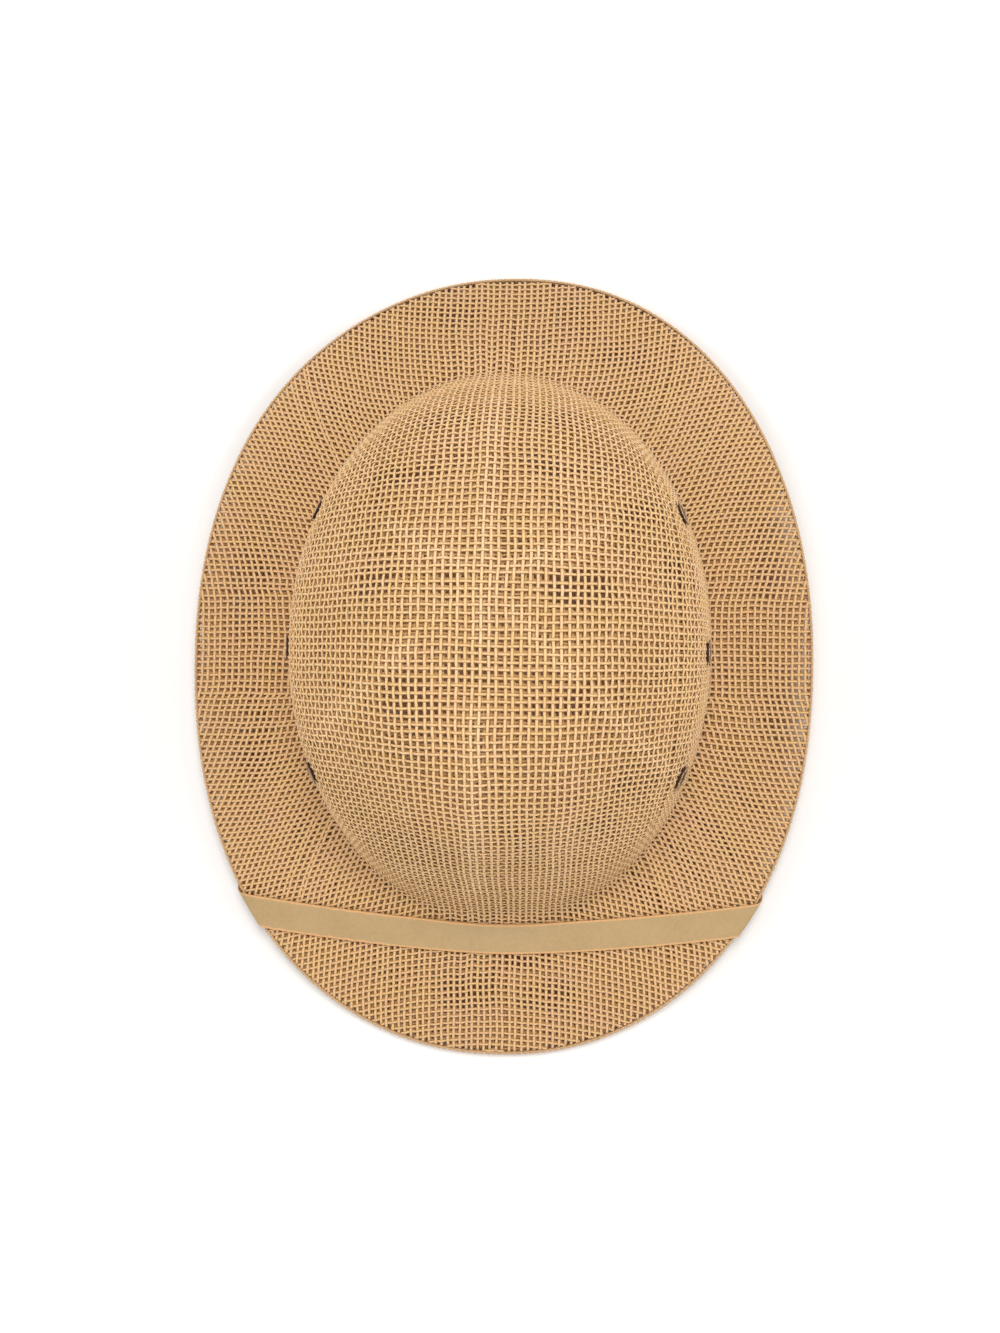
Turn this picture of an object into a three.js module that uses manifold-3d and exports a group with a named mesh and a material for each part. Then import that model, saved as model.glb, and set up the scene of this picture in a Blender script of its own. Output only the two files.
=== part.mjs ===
// Pith helmet moulded from two plies of stiff netting, at rest on its brim.
// Millimetres, +Z up, front of the helmet towards -Y, origin on the floor under the middle.
import * as THREE from "three";
import { mergeVertices } from "three/addons/utils/BufferGeometryUtils.js";
import Module from "manifold-3d";

// Overall size
const brim_width = 275;
const brim_length = 348;
const crown_top = 115;
const brim_power = 2.15;
const brim_back_lean = 5;

// Crown foot, the line where the crown wall turns out into the brim
const foot_width = 185;
const foot_length = 240;
const foot_back_shift = 7;
const foot_front_height = 15;
const foot_side_height = 16;
const foot_back_height = 28;
const foot_power = 2.05;
const foot_blend = 8;

// Netting and fits
const ply_thickness = 1.4;
const fit_gap = 0.3;

// Edge bead
const bead_width = 1.6;
const bead_height = 4.2;
const bead_flat_share = 0.62;
const bead_side_share = 0.57;
const bead_segments = 72;

// Brim: the edge lies on the floor at front and back and lifts at the sides
const side_lift = 7;
const lift_start = 0.35;
const brim_straightness = 0.85;

// Crown profile: how far the wall has dropped towards the foot, as a share of the drop,
// at each share of the way from the crown's middle to its foot
const crown_profile = [
  { reach: 0.00, front: 0.000, side: 0.000, back: 0.000 },
  { reach: 0.15, front: 0.004, side: 0.003, back: 0.005 },
  { reach: 0.25, front: 0.013, side: 0.008, back: 0.018 },
  { reach: 0.35, front: 0.037, side: 0.020, back: 0.051 },
  { reach: 0.45, front: 0.091, side: 0.052, back: 0.105 },
  { reach: 0.55, front: 0.181, side: 0.109, back: 0.177 },
  { reach: 0.65, front: 0.312, side: 0.186, back: 0.267 },
  { reach: 0.75, front: 0.494, side: 0.284, back: 0.385 },
  { reach: 0.83, front: 0.662, side: 0.367, back: 0.519 },
  { reach: 0.88, front: 0.769, side: 0.436, back: 0.624 },
  { reach: 0.91, front: 0.831, side: 0.497, back: 0.699 },
  { reach: 0.94, front: 0.894, side: 0.610, back: 0.788 },
  { reach: 1.00, front: 1.000, side: 1.000, back: 1.000 },
];

// Six low ridges run down the crown from a round boss set behind its middle
const boss_x = -3;
const boss_behind_middle = 25;
const boss_height = 0.8;
const boss_radius = 9;
const ridge_height = 0.9;
const ridge_half_width = 4.5;
const ridge_fade_start = 0.8;
const ridges = [
  { azimuth: 24, height: 0.8 },
  { azimuth: 90, height: 0.9 },
  { azimuth: 148, height: 0.8 },
  { azimuth: 220, height: 0.9 },
  { azimuth: 267, height: 1.0 },
  { azimuth: 314, height: 0.9 },
];
const columns_per_panel = 8;

// Rings of the netting, as shares of the way from boss to foot and from foot to edge
const crown_rings = [0.13, 0.29, 0.43, 0.54, 0.64, 0.73, 0.81, 0.88, 0.94, 0.98, 1];
const brim_rings = [0.08, 0.25, 0.5, 0.75, 1];

// Chin strap
const strap_width = 14;
const strap_thickness = 1;
const strap_rise = 9.5;
const strap_bend = 1.6;
const strap_turn_share = 0.811;
const strap_top_steps = 14;
const strap_roll_steps = 5;
const strap_hidden_steps = 28;
const strap_strips = 3;
const strap_hidden_length = 108;
const strap_settle = 6;
const strap_hidden_slack = 1;

// Eyelets
const eyelet_height = 50;
const eyelet_flange_radius = 5.5;
const eyelet_clinch_radius = 4.9;
const eyelet_barrel_radius = 4;
const eyelet_hole_radius = 3.2;
const eyelet_flange_thickness = 0.6;
const eyelet_inner_gap = 1;
const eyelet_bore_length = 18;
const eyelet_segments = 14;
const eyelet_places = [
  { name: "eyelet_right_front", azimuth: -34 },
  { name: "eyelet_right_side", azimuth: 0 },
  { name: "eyelet_right_back", azimuth: 37 },
  { name: "eyelet_left_back", azimuth: 143 },
  { name: "eyelet_left_side", azimuth: 180 },
  { name: "eyelet_left_front", azimuth: 214 },
];

const outer_top = 0;
const outer_bottom = ply_thickness;
const inner_top = outer_bottom + fit_gap;
const inner_bottom = inner_top + ply_thickness;
const boss_y = foot_back_shift + boss_behind_middle;
const foot_front_y = foot_back_shift - foot_length / 2;
const strap_middle_y = foot_front_y - strap_width / 2 + fit_gap;
const strap_turn_x = (strap_turn_share * brim_width) / 2;

// Smooth curve through a column of the crown profile, straight beyond its last row
function profileCurve(column) {
  const x = crown_profile.map((row) => row.reach);
  const y = crown_profile.map((row) => row[column]);
  const count = x.length;
  const secant = [];
  for (let i = 0; i < count - 1; i++) {
    secant.push((y[i + 1] - y[i]) / (x[i + 1] - x[i]));
  }
  const slope = [0];
  for (let i = 1; i < count - 1; i++) {
    const joined = secant[i - 1] + secant[i];
    slope.push(joined > 0 ? (2 * secant[i - 1] * secant[i]) / joined : 0);
  }
  slope.push(secant[count - 2]);
  return (reach) => {
    if (reach >= 1) {
      return y[count - 1] + slope[count - 1] * (reach - 1);
    }
    let i = 0;
    while (i < count - 2 && reach > x[i + 1]) {
      i++;
    }
    const span = x[i + 1] - x[i];
    const t = (reach - x[i]) / span;
    const t2 = t * t;
    const t3 = t2 * t;
    return (2 * t3 - 3 * t2 + 1) * y[i]
      + (t3 - 2 * t2 + t) * span * slope[i]
      + (3 * t2 - 2 * t3) * y[i + 1]
      + (t3 - t2) * span * slope[i + 1];
  };
}

const front_drop = profileCurve("front");
const side_drop = profileCurve("side");
const back_drop = profileCurve("back");

function smoothstep(t) {
  const s = Math.min(Math.max(t, 0), 1);
  return s * s * (3 - 2 * s);
}

// Size of a point in an oval's own scale: 1 on the oval itself
function ovalReach(x, y, half_x, half_y, power) {
  return Math.pow(Math.pow(Math.abs(x / half_x), power) + Math.pow(Math.abs(y / half_y), power), 1 / power);
}

function footReach(x, y) {
  return ovalReach(x, y - foot_back_shift, foot_width / 2, foot_length / 2, foot_power);
}

// The back of the brim leans a little to the right
function brimReach(x, y) {
  const lean = brim_back_lean * Math.pow(Math.max(y, 0) / (brim_length / 2), 4);
  return ovalReach(x - lean, y, brim_width / 2, brim_length / 2, brim_power);
}

// Distance from a start point, along a direction, to where a reach function becomes 1
function distanceTo(reachOf, start_x, start_y, dir_x, dir_y) {
  let low = 0;
  let high = brim_length;
  for (let i = 0; i < 40; i++) {
    const middle = (low + high) / 2;
    if (reachOf(start_x + dir_x * middle, start_y + dir_y * middle) < 1) {
      low = middle;
    } else {
      high = middle;
    }
  }
  return low;
}

function brimLift(x, y) {
  const across = Math.abs(x) / (brim_width / 2);
  const along = Math.abs(y) / (brim_length / 2);
  const sideways = across / Math.hypot(across, along);
  return side_lift * smoothstep((sideways - lift_start) / (1 - lift_start));
}

function ridgeBump(x, y, reach) {
  const from_boss = Math.hypot(x - boss_x, y - boss_y);
  let bump = boss_height * Math.exp(-Math.pow(from_boss / boss_radius, 4));
  for (const ridge of ridges) {
    const angle = THREE.MathUtils.degToRad(ridge.azimuth);
    const along = (x - boss_x) * Math.cos(angle) + (y - boss_y) * Math.sin(angle);
    const aside = (y - boss_y) * Math.cos(angle) - (x - boss_x) * Math.sin(angle);
    if (along > 0) {
      const start = smoothstep(along / boss_radius);
      const shape = Math.exp(-Math.pow(aside / ridge_half_width, 2));
      bump = Math.max(bump, ridge_height * ridge.height * shape * start);
    }
  }
  return bump * (1 - smoothstep((reach - ridge_fade_start) / (1 - ridge_fade_start)));
}

// Height of the helmet's outer face over a point of its plan
function surfaceHeight(x, y) {
  const from_x = x;
  const from_y = y - foot_back_shift;
  const across = from_x / (foot_width / 2);
  const along = from_y / (foot_length / 2);
  const round = across * across + along * along;
  const side_share = round > 0 ? (across * across) / round : 0;
  const end_drop = from_y < 0 ? front_drop : back_drop;
  const reach = footReach(x, y);
  const end_height = from_y < 0 ? foot_front_height : foot_back_height;
  const side_fall = side_share * (crown_top - foot_side_height);
  const end_fall = (1 - side_share) * (crown_top - end_height);
  const crown = crown_top - side_fall * side_drop(reach) - end_fall * end_drop(reach);
  if (reach < 0.6) {
    return crown + ridgeBump(x, y, reach);
  }
  const length = Math.hypot(from_x, from_y);
  const dir_x = from_x / length;
  const dir_y = from_y / length;
  const foot_at = length / reach;
  const edge_at = distanceTo(brimReach, 0, foot_back_shift, dir_x, dir_y);
  const edge_x = dir_x * edge_at;
  const edge_y = foot_back_shift + dir_y * edge_at;
  const foot_z = crown_top - side_fall - end_fall;
  const edge_z = bead_height + brimLift(edge_x, edge_y);
  const out = (length - foot_at) / (edge_at - foot_at);
  const fall = out > 0 ? out * (brim_straightness + (1 - brim_straightness) * out) : out * brim_straightness;
  const brim = foot_z + (edge_z - foot_z) * fall;
  const near = Math.max(foot_blend - Math.abs(crown - brim), 0) / foot_blend;
  return Math.max(crown, brim) + (near * near * foot_blend) / 4 + ridgeBump(x, y, reach);
}

function surfaceNormal(x, y) {
  const step = 0.05;
  const slope_x = (surfaceHeight(x + step, y) - surfaceHeight(x - step, y)) / (2 * step);
  const slope_y = (surfaceHeight(x, y + step) - surfaceHeight(x, y - step)) / (2 * step);
  return new THREE.Vector3(-slope_x, -slope_y, 1).normalize();
}

function surfacePoint(x, y, depth) {
  const point = new THREE.Vector3(x, y, surfaceHeight(x, y));
  return point.addScaledVector(surfaceNormal(x, y), -depth);
}

// Moves a point square to the shell until it lies at a given depth under the outer face
function seat(point, depth) {
  let x = point.x;
  let y = point.y;
  for (let i = 0; i < 12; i++) {
    const normal = surfaceNormal(x, y);
    const offset = point.clone().sub(new THREE.Vector3(x, y, surfaceHeight(x, y)));
    offset.addScaledVector(normal, -offset.dot(normal));
    x += offset.x * 0.8;
    y += offset.y * 0.8;
  }
  return surfacePoint(x, y, depth);
}

// Closed body from a grid of points: rows wrap round when closed is true
function geometryFrom(points, faces) {
  const geometry = new THREE.BufferGeometry();
  geometry.setAttribute("position", new THREE.Float32BufferAttribute(points.flatMap((p) => [p.x, p.y, p.z]), 3));
  geometry.setIndex(faces.flat());
  return geometry;
}

function quad(a, b, c, d) {
  return [a, b, c, a, c, d];
}

function columnAzimuths() {
  const azimuths = [];
  for (let i = 0; i < ridges.length; i++) {
    const from = ridges[i].azimuth;
    const to = i + 1 < ridges.length ? ridges[i + 1].azimuth : ridges[0].azimuth + 360;
    for (let k = 0; k < columns_per_panel; k++) {
      azimuths.push(THREE.MathUtils.degToRad(from + ((to - from) * k) / columns_per_panel));
    }
  }
  return azimuths;
}

// Plan points of one column of the netting, from the boss out to the edge bead
function columnPlan(azimuth) {
  const dir_x = Math.cos(azimuth);
  const dir_y = Math.sin(azimuth);
  const foot_at = distanceTo(footReach, boss_x, boss_y, dir_x, dir_y);
  const foot = new THREE.Vector2(boss_x + dir_x * foot_at, boss_y + dir_y * foot_at);
  const outward = new THREE.Vector2(foot.x, foot.y - foot_back_shift).normalize();
  const edge_at = distanceTo(brimReach, foot.x, foot.y, outward.x, outward.y);
  const brim_at = edge_at - bead_width - fit_gap;
  const plan = crown_rings.map((share) => new THREE.Vector2(
    boss_x + dir_x * foot_at * share,
    boss_y + dir_y * foot_at * share,
  ));
  for (const share of brim_rings) {
    plan.push(foot.clone().addScaledVector(outward, brim_at * share));
  }
  return plan;
}

// A point at a given depth whose own plan position is the one asked for
function rimPoint(x, y, depth) {
  let from_x = x;
  let from_y = y;
  for (let i = 0; i < 4; i++) {
    const normal = surfaceNormal(from_x, from_y);
    from_x = x + normal.x * depth;
    from_y = y + normal.y * depth;
  }
  return surfacePoint(from_x, from_y, depth);
}

function plyGeometry(top, bottom) {
  const columns = columnAzimuths().map(columnPlan);
  const rings = columns[0].length;
  const points = [];
  const faces = [];
  for (const depth of [top, bottom]) {
    points.push(surfacePoint(boss_x, boss_y, depth));
    for (let ring = 0; ring < rings; ring++) {
      for (const plan of columns) {
        const place = ring === rings - 1 ? rimPoint : surfacePoint;
        points.push(place(plan[ring].x, plan[ring].y, depth));
      }
    }
  }
  const sheet = 1 + rings * columns.length;
  for (let i = 0; i < columns.length; i++) {
    const next = (i + 1) % columns.length;
    faces.push([0, 1 + i, 1 + next]);
    faces.push([sheet, sheet + 1 + next, sheet + 1 + i]);
    for (let ring = 0; ring < rings - 1; ring++) {
      const a = 1 + ring * columns.length;
      const b = a + columns.length;
      faces.push(quad(a + i, b + i, b + next, a + next));
      faces.push(quad(sheet + a + i, sheet + a + next, sheet + b + next, sheet + b + i));
    }
    const rim = 1 + (rings - 1) * columns.length;
    faces.push(quad(rim + i, sheet + rim + i, sheet + rim + next, rim + next));
  }
  return geometryFrom(points, faces);
}

function beadGeometry() {
  const half_width = bead_width / 2;
  const half_height = bead_height / 2;
  const flat = half_width * bead_flat_share;
  const side = half_height * bead_side_share;
  const section = [
    [half_width, -side], [half_width, side], [flat, half_height], [-flat, half_height],
    [-half_width, side], [-half_width, -side], [-flat, -half_height], [flat, -half_height],
  ];
  const points = [];
  const faces = [];
  for (let i = 0; i < bead_segments; i++) {
    const frame = edgeFrame(edgeAzimuth(i / bead_segments));
    for (const [out, up] of section) {
      const point = frame.middle.clone().addScaledVector(frame.outward, out);
      point.z += up;
      points.push(point);
    }
  }
  for (let i = 0; i < bead_segments; i++) {
    const next = (i + 1) % bead_segments;
    for (let k = 0; k < section.length; k++) {
      const along = (k + 1) % section.length;
      const here = i * section.length;
      const there = next * section.length;
      faces.push(quad(here + k, there + k, there + along, here + along));
    }
  }
  return geometryFrom(points, faces);
}

function edgeAzimuth(share) {
  return share * 2 * Math.PI;
}

// Middle of the bead at an azimuth about the origin, with its outward and forward directions
function edgeFrame(azimuth) {
  const at = (angle) => {
    const reach = distanceTo(brimReach, 0, 0, Math.cos(angle), Math.sin(angle));
    return new THREE.Vector3(Math.cos(angle) * reach, Math.sin(angle) * reach, 0);
  };
  const forward = at(azimuth + 0.001).sub(at(azimuth - 0.001)).normalize();
  const outward = new THREE.Vector3(forward.y, -forward.x, 0);
  const rim = at(azimuth);
  const middle = rim.clone().addScaledVector(outward, -bead_width / 2);
  middle.z = brimLift(rim.x, rim.y) + bead_height / 2;
  return { middle, outward, forward };
}

// Strap: middle line over the brim on the right half, in plan
function strapMiddle(x) {
  return strap_middle_y + strap_rise * Math.pow(Math.abs(x) / strap_turn_x, strap_bend);
}

// Plan point on the top of the brim, at a distance aside from the strap's middle line
function strapTopPlan(x, aside) {
  const slope = (strapMiddle(x + 0.1) - strapMiddle(Math.max(x - 0.1, 0))) / (x < 0.1 ? x + 0.1 : 0.2);
  const length = Math.hypot(1, x === 0 ? 0 : slope);
  const lean = x === 0 ? 0 : slope / length;
  const side = new THREE.Vector2(-lean, 1 / length);
  const y = strapMiddle(x);
  const grade = (surfaceHeight(x + side.x, y + side.y) - surfaceHeight(x - side.x, y - side.y)) / 2;
  const reach = aside / Math.hypot(1, grade);
  return new THREE.Vector2(x + side.x * reach, y + side.y * reach);
}

// How the strap goes round the edge bead: where a line of it arrives, its share of travel
// along the edge and outward, and how far it creeps along the edge on the way round
function strapTurn(aside, lift) {
  let low = 0.75 * strap_turn_x;
  let high = 1.25 * strap_turn_x;
  for (let i = 0; i < 40; i++) {
    const middle = (low + high) / 2;
    const plan = strapTopPlan(middle, aside);
    if (brimReach(plan.x, plan.y) < 1 - bead_width / brim_width) {
      low = middle;
    } else {
      high = middle;
    }
  }
  const turn = strapTopPlan(low, aside);
  const travel = turn.clone().sub(strapTopPlan(low - 1, aside)).normalize();
  const start = Math.atan2(turn.y, turn.x);
  const frame = edgeFrame(start);
  const outward_share = travel.x * frame.outward.x + travel.y * frame.outward.y;
  const forward_share = travel.x * frame.forward.x + travel.y * frame.forward.y;
  const roll_x = bead_width / 2 + lift;
  const roll_z = bead_height / 2 + lift;
  const roll_length = (Math.PI * (roll_x + roll_z)) / 2;
  const creep = (roll_length * forward_share) / outward_share / turn.length();
  return { x: low, start, creep, roll_x, roll_z, outward_share, forward_share };
}

// The strap's middle line from the bead to its sewn end, in steps of about 1 mm: it runs
// straight over the inner face, under the brim and up inside the crown
function strapHiddenRoute(lift) {
  const turn = strapTurn(0, lift);
  const frame = edgeFrame(turn.start + turn.creep);
  const depth = inner_bottom + lift;
  const travel = new THREE.Vector3();
  travel.addScaledVector(frame.forward, turn.forward_share);
  travel.addScaledVector(frame.outward, -turn.outward_share);
  const steps = Math.round(strap_hidden_length);
  const route = [];
  let point = surfacePoint(frame.middle.x, frame.middle.y, depth);
  for (let i = 0; i <= steps; i++) {
    const normal = surfaceNormal(point.x, point.y);
    travel.addScaledVector(normal, -travel.dot(normal)).normalize();
    const right = new THREE.Vector3().crossVectors(travel, normal);
    route.push({ point: point.clone(), travel: travel.clone(), right });
    point = seat(point.addScaledVector(travel, strap_hidden_length / steps), depth);
  }
  return route;
}

// Place on the hidden route, part way along it and aside to its right, walked to over the
// inner face in steps of about 1 mm so that the strap keeps its width round the crown's foot
function besideRoute(route, along, aside, depth) {
  const spot = Math.min(Math.max((along / strap_hidden_length) * (route.length - 1), 0), route.length - 1);
  const before = Math.min(Math.floor(spot), route.length - 2);
  const share = spot - before;
  const right = route[before].right.clone().lerp(route[before + 1].right, share).normalize();
  const steps = Math.max(Math.round(Math.abs(aside)), 1);
  let point = seat(route[before].point.clone().lerp(route[before + 1].point, share), depth);
  for (let i = 0; i < steps; i++) {
    const normal = surfaceNormal(point.x, point.y);
    right.addScaledVector(normal, -right.dot(normal)).normalize();
    point = seat(point.addScaledVector(right, aside / steps), depth);
  }
  return point;
}

// One line of the strap's right half, from the middle of the brim to the sewn end.
// lift is the distance of the line from the netting.
function strapLine(aside, lift, route) {
  const line = [];
  const turn = strapTurn(aside, lift);
  for (let i = 0; i < strap_top_steps; i++) {
    const plan = strapTopPlan((turn.x * i) / strap_top_steps, aside);
    line.push(surfacePoint(plan.x, plan.y, -lift));
  }
  for (let i = 0; i <= strap_roll_steps; i++) {
    const angle = Math.PI * (0.5 - i / strap_roll_steps);
    const frame = edgeFrame(turn.start + (turn.creep * i) / strap_roll_steps);
    const point = frame.middle.clone();
    point.addScaledVector(frame.outward, turn.roll_x * Math.pow(Math.max(Math.cos(angle), 0), 0.8));
    point.z += turn.roll_z * Math.sign(Math.sin(angle)) * Math.pow(Math.abs(Math.sin(angle)), 0.8);
    line.push(point);
  }
  const leave = line[line.length - 1];
  const start = route[0];
  const ahead = leave.clone().sub(start.point).dot(start.travel);
  const depth = inner_bottom + lift + strap_hidden_slack;
  const drop = Math.max(bead_height + lift - depth, 0);
  for (let i = 1; i <= strap_hidden_steps; i++) {
    const share = i / strap_hidden_steps;
    const along = strap_hidden_length * share;
    const settle = drop * Math.exp(-along / strap_settle);
    line.push(besideRoute(route, along + ahead * (1 - share), aside, depth + settle));
  }
  return line;
}

function strapGeometry() {
  const asides = [];
  for (let i = 0; i <= strap_strips; i++) {
    asides.push(strap_width * (i / strap_strips - 0.5));
  }
  const halves = [fit_gap, fit_gap + strap_thickness].map((lift) => {
    const route = strapHiddenRoute(lift);
    return asides.map((aside) => strapLine(aside, lift, route));
  });
  const mirror = (p) => new THREE.Vector3(-p.x, p.y, p.z);
  const sheets = halves.map((lines) => lines.map((line) => [...line.slice(1).reverse().map(mirror), ...line]));
  const count = sheets[0][0].length;
  const across = asides.length;
  const points = sheets.flat(2);
  const at = (sheet, i, k) => (sheet * across + k) * count + i;
  const faces = [];
  for (let i = 0; i < count - 1; i++) {
    for (let k = 0; k < strap_strips; k++) {
      faces.push(quad(at(1, i, k), at(1, i + 1, k), at(1, i + 1, k + 1), at(1, i, k + 1)));
      faces.push(quad(at(0, i, k), at(0, i, k + 1), at(0, i + 1, k + 1), at(0, i + 1, k)));
    }
    faces.push(quad(at(0, i, 0), at(0, i + 1, 0), at(1, i + 1, 0), at(1, i, 0)));
    faces.push(quad(at(0, i, strap_strips), at(1, i, strap_strips), at(1, i + 1, strap_strips), at(0, i + 1, strap_strips)));
  }
  for (let k = 0; k < strap_strips; k++) {
    faces.push(quad(at(0, 0, k), at(1, 0, k), at(1, 0, k + 1), at(0, 0, k + 1)));
    faces.push(quad(at(0, count - 1, k), at(0, count - 1, k + 1), at(1, count - 1, k + 1), at(1, count - 1, k)));
  }
  return geometryFrom(points, faces);
}

// Place of an eyelet: a point of the wall at its height, and the wall's outward direction
function eyeletPlace(azimuth) {
  const angle = THREE.MathUtils.degToRad(azimuth);
  const dir_x = Math.cos(angle);
  const dir_y = Math.sin(angle);
  const heightLeft = (x, y) => (surfaceHeight(x, y) > eyelet_height ? 0 : 2);
  const reach = distanceTo(heightLeft, 0, foot_back_shift, dir_x, dir_y);
  const x = dir_x * reach;
  const y = foot_back_shift + dir_y * reach;
  return { point: surfacePoint(x, y, 0), normal: surfaceNormal(x, y) };
}

// Lathe bodies turn about Y, which is then laid along the wall's outward direction
function layOnWall(geometry, place) {
  const turn = new THREE.Quaternion().setFromUnitVectors(new THREE.Vector3(0, 1, 0), place.normal);
  geometry.applyQuaternion(turn);
  geometry.translate(place.point.x, place.point.y, place.point.z);
  return geometry;
}

function lathe(profile, segments) {
  const points = profile.map(([r, h]) => new THREE.Vector2(r, h));
  points.push(points[0].clone());
  return new THREE.LatheGeometry(points, segments);
}

function eyeletGeometry(place) {
  const face = fit_gap;
  const crest = face + eyelet_flange_thickness;
  const under = -(inner_bottom + eyelet_inner_gap);
  const bottom = under - eyelet_flange_thickness;
  const round = eyelet_flange_thickness * 0.45;
  const geometry = lathe([
    [eyelet_hole_radius, bottom + round],
    [eyelet_hole_radius + round, bottom],
    [eyelet_clinch_radius, under - round],
    [eyelet_clinch_radius, under],
    [eyelet_barrel_radius, under],
    [eyelet_barrel_radius, face],
    [eyelet_flange_radius, face],
    [eyelet_flange_radius, face + round],
    [eyelet_hole_radius + round, crest],
    [eyelet_hole_radius, crest - round],
  ], eyelet_segments);
  return layOnWall(geometry, place);
}

function eyeletBore(place) {
  const radius = eyelet_barrel_radius + fit_gap;
  const half = eyelet_bore_length / 2;
  const geometry = lathe([[0, -half], [radius, -half], [radius, half], [0, half]], eyelet_segments);
  return layOnWall(geometry, place);
}

const wasm = await Module();
wasm.setup();

function toManifold(geometry) {
  const plain = geometry.clone();
  plain.deleteAttribute("normal");
  plain.deleteAttribute("uv");
  const merged = mergeVertices(plain, 1e-4);
  return new wasm.Manifold(new wasm.Mesh({
    numProp: 3,
    vertProperties: new Float32Array(merged.attributes.position.array),
    triVerts: new Uint32Array(dropFlat(merged.index.array)),
  }));
}

// Triangles with two corners on one vertex have no area and are left out
function dropFlat(index) {
  const kept = [];
  for (let i = 0; i < index.length; i += 3) {
    const [a, b, c] = [index[i], index[i + 1], index[i + 2]];
    if (a !== b && b !== c && a !== c) {
      kept.push(a, b, c);
    }
  }
  return kept;
}

function toGeometry(solid) {
  const mesh = solid.getMesh();
  const geometry = new THREE.BufferGeometry();
  geometry.setAttribute("position", new THREE.Float32BufferAttribute(mesh.vertProperties, 3));
  geometry.setIndex(Array.from(mesh.triVerts));
  return geometry;
}

const colours = { mesh: 0xe0b882, edge: 0xb79a72, strap: 0xb9945f, eyelet: 0x4a3226 };
const group = new THREE.Group();
group.name = "pith_helmet";

function addPiece(name, geometry, colour, metalness, roughness) {
  const clean = toGeometry(toManifold(geometry));
  clean.computeVertexNormals();
  const material = new THREE.MeshStandardMaterial({ color: colour, metalness, roughness });
  const mesh = new THREE.Mesh(clean, material);
  mesh.name = name;
  group.add(mesh);
}

const places = eyelet_places.map((row) => ({ name: row.name, ...eyeletPlace(row.azimuth) }));

function pierced(top, bottom) {
  let solid = toManifold(plyGeometry(top, bottom));
  for (const place of places) {
    solid = solid.subtract(toManifold(eyeletBore(place)));
  }
  return toGeometry(solid);
}

addPiece("outer_mesh", pierced(outer_top, outer_bottom), colours.mesh, 0, 0.8);
addPiece("inner_mesh", pierced(inner_top, inner_bottom), colours.mesh, 0, 0.8);
addPiece("brim_edge", beadGeometry(), colours.edge, 0, 0.8);
addPiece("chin_strap", strapGeometry(), colours.strap, 0, 0.55);
for (const place of places) {
  addPiece(place.name, eyeletGeometry(place), colours.eyelet, 0.6, 0.35);
}

export default group;
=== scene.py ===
# %% [markdown]
# # A sun helmet moulded from netting
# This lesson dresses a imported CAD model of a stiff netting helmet. The model gives the
# shape and the sizes. Here the two plies of net become real strands, woven over and
# under each other, and the edge, the strap and the eyelets get their finish.

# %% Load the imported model
import math
import bpy
import bmesh
import numpy as np
from mathutils import Matrix, Vector


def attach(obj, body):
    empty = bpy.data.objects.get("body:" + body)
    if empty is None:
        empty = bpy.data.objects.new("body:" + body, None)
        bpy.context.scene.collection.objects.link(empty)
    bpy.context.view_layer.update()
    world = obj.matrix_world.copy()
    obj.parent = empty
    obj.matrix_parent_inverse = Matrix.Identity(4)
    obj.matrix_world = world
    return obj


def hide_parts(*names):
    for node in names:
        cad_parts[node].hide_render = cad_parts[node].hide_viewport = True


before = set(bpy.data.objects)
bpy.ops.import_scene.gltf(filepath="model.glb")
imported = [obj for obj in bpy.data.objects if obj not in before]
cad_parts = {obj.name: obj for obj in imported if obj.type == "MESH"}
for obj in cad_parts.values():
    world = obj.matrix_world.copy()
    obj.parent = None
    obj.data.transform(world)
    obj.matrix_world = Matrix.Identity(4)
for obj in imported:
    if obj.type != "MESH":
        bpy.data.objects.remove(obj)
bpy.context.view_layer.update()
scene = bpy.context.scene

# %% [markdown]
# ## The moulded surface
# The net was pressed over a mould, so every strand lies on one smooth surface. It is
# written here as a height over the plan, with the same sizes in millimetres as the
# solid model. A height is easy to ask for at any place, which the weaving needs.

# %% Sizes of the mould
BRIM_WIDTH, BRIM_LENGTH, CROWN_TOP, BRIM_POWER = 275.0, 348.0, 115.0, 2.15
BRIM_BACK_LEAN = 5.0
FOOT_WIDTH, FOOT_LENGTH, FOOT_SHIFT, FOOT_POWER = 185.0, 240.0, 7.0, 2.05
FOOT_FRONT, FOOT_SIDE, FOOT_BACK, FOOT_BLEND = 15.0, 16.0, 28.0, 8.0
PLY, FIT_GAP = 1.4, 0.3
BEAD_WIDTH, BEAD_HEIGHT = 1.6, 4.2
SIDE_LIFT, LIFT_START, BRIM_STRAIGHTNESS = 7.0, 0.35, 0.85
BOSS_X, BOSS_Y, BOSS_HEIGHT, BOSS_RADIUS = -3.0, FOOT_SHIFT + 25.0, 0.8, 9.0
RIDGE_HEIGHT, RIDGE_HALF_WIDTH, RIDGE_FADE = 0.9, 4.5, 0.8
# Each ridge: azimuth from the boss in degrees, share of the ridge height
RIDGES = [(24, 0.8), (90, 0.9), (148, 0.8), (220, 0.9), (267, 1.0), (314, 0.9)]
# Each row: share of the way to the crown's foot, then the share of the drop at front, side, back
PROFILE = np.array([
    (0.00, 0.000, 0.000, 0.000), (0.15, 0.004, 0.003, 0.005), (0.25, 0.013, 0.008, 0.018),
    (0.35, 0.037, 0.020, 0.051), (0.45, 0.091, 0.052, 0.105), (0.55, 0.181, 0.109, 0.177),
    (0.65, 0.312, 0.186, 0.267), (0.75, 0.494, 0.284, 0.385), (0.83, 0.662, 0.367, 0.519),
    (0.88, 0.769, 0.436, 0.624), (0.91, 0.831, 0.497, 0.699), (0.94, 0.894, 0.610, 0.788),
    (1.00, 1.000, 1.000, 1.000),
])
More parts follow.
